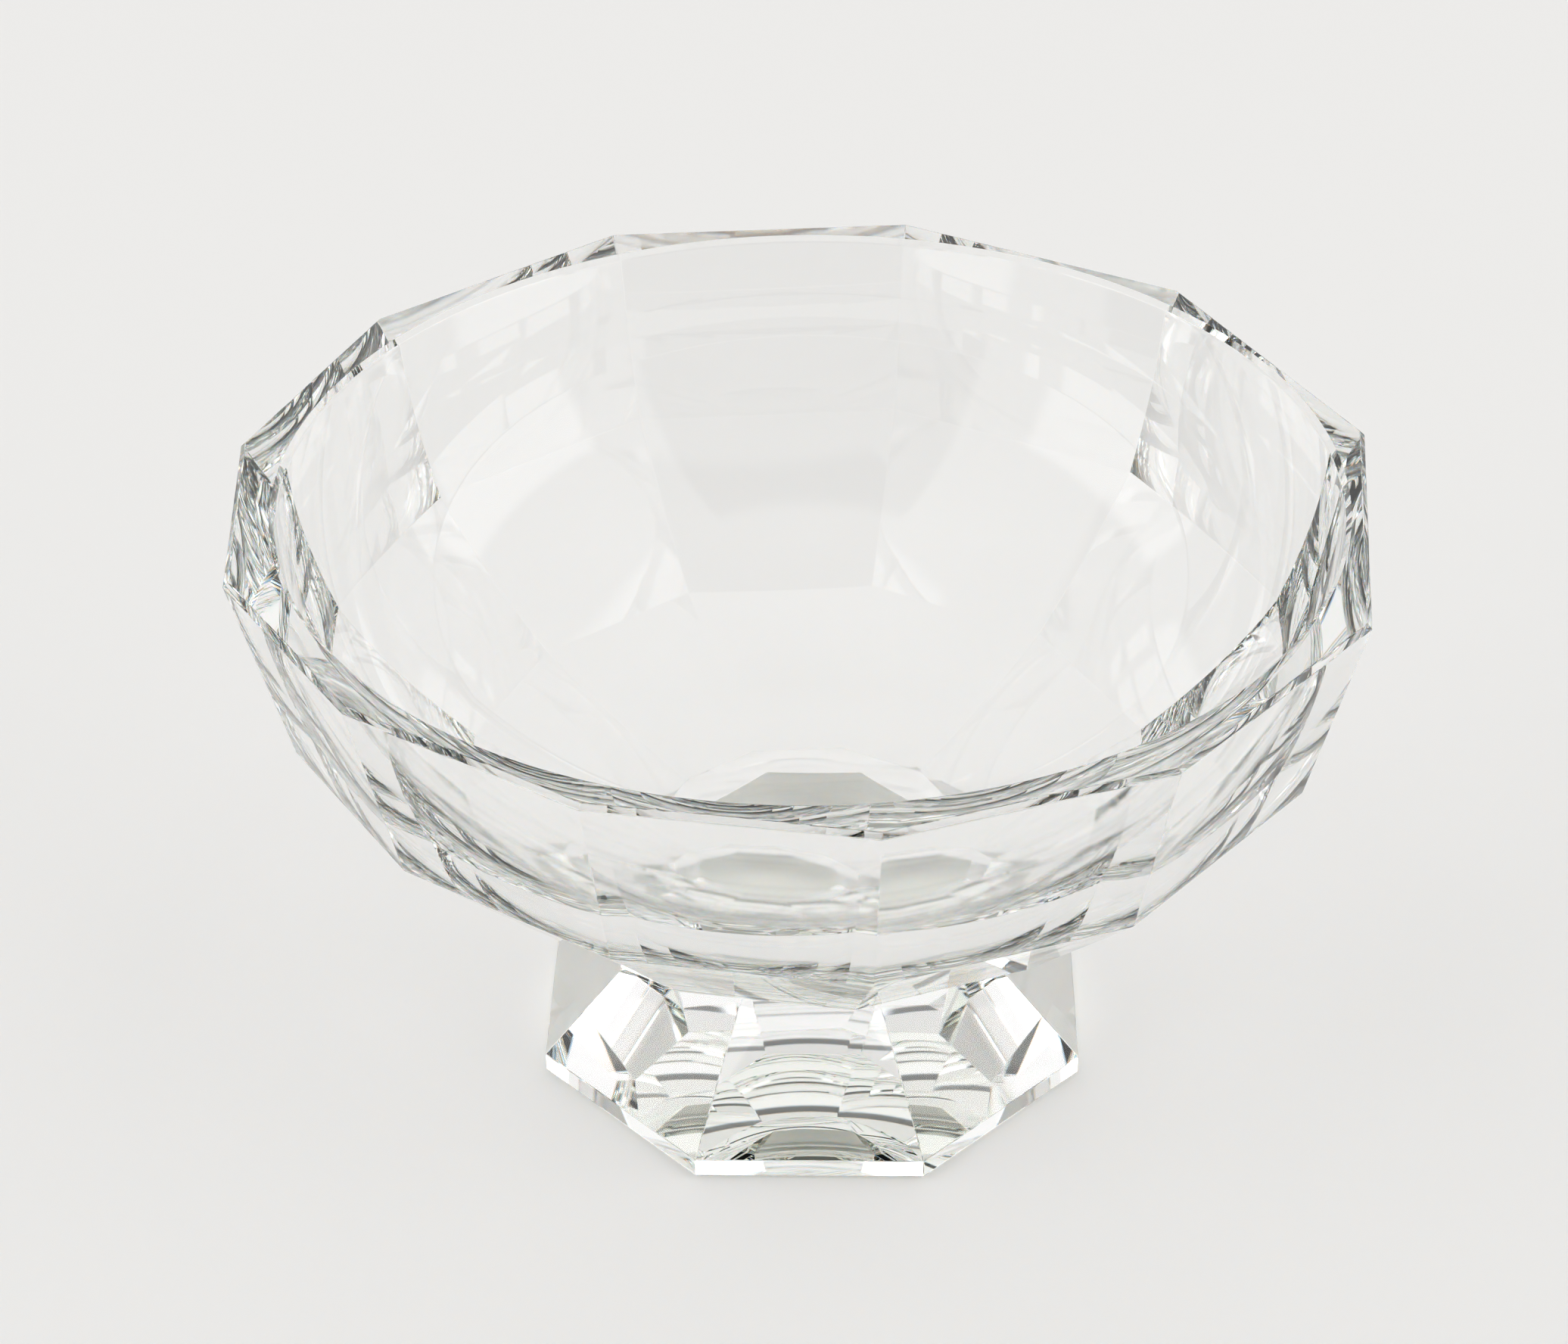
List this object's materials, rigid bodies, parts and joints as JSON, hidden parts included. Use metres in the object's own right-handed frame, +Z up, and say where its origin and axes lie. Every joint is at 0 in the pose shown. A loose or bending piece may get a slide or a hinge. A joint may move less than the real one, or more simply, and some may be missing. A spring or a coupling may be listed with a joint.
{
  "type": "punch bowl",
  "caption": "Footed punch bowl in clear cut crystal: round smooth inside, flat-cut walls, many-sided rim, and an eight-sided block foot bonded below.",
  "frame": {"origin": "centre of the foot's flat base, on the table", "axes": "+Z up through the mouth; -Y is the front, where the foot shows one side square on; +X to the right seen from the front"},
  "size_m": [0.3452, 0.345, 0.201],
  "materials": {
    "crystal": "clear polished lead crystal, colourless with a faint grey-green tint in depth",
    "adhesive": "water-clear cured optical adhesive"
  },
  "bodies": {
    "root": {"bowl": "crystal", "foot": "crystal", "bond": "adhesive"}
  },
  "joints": []
}
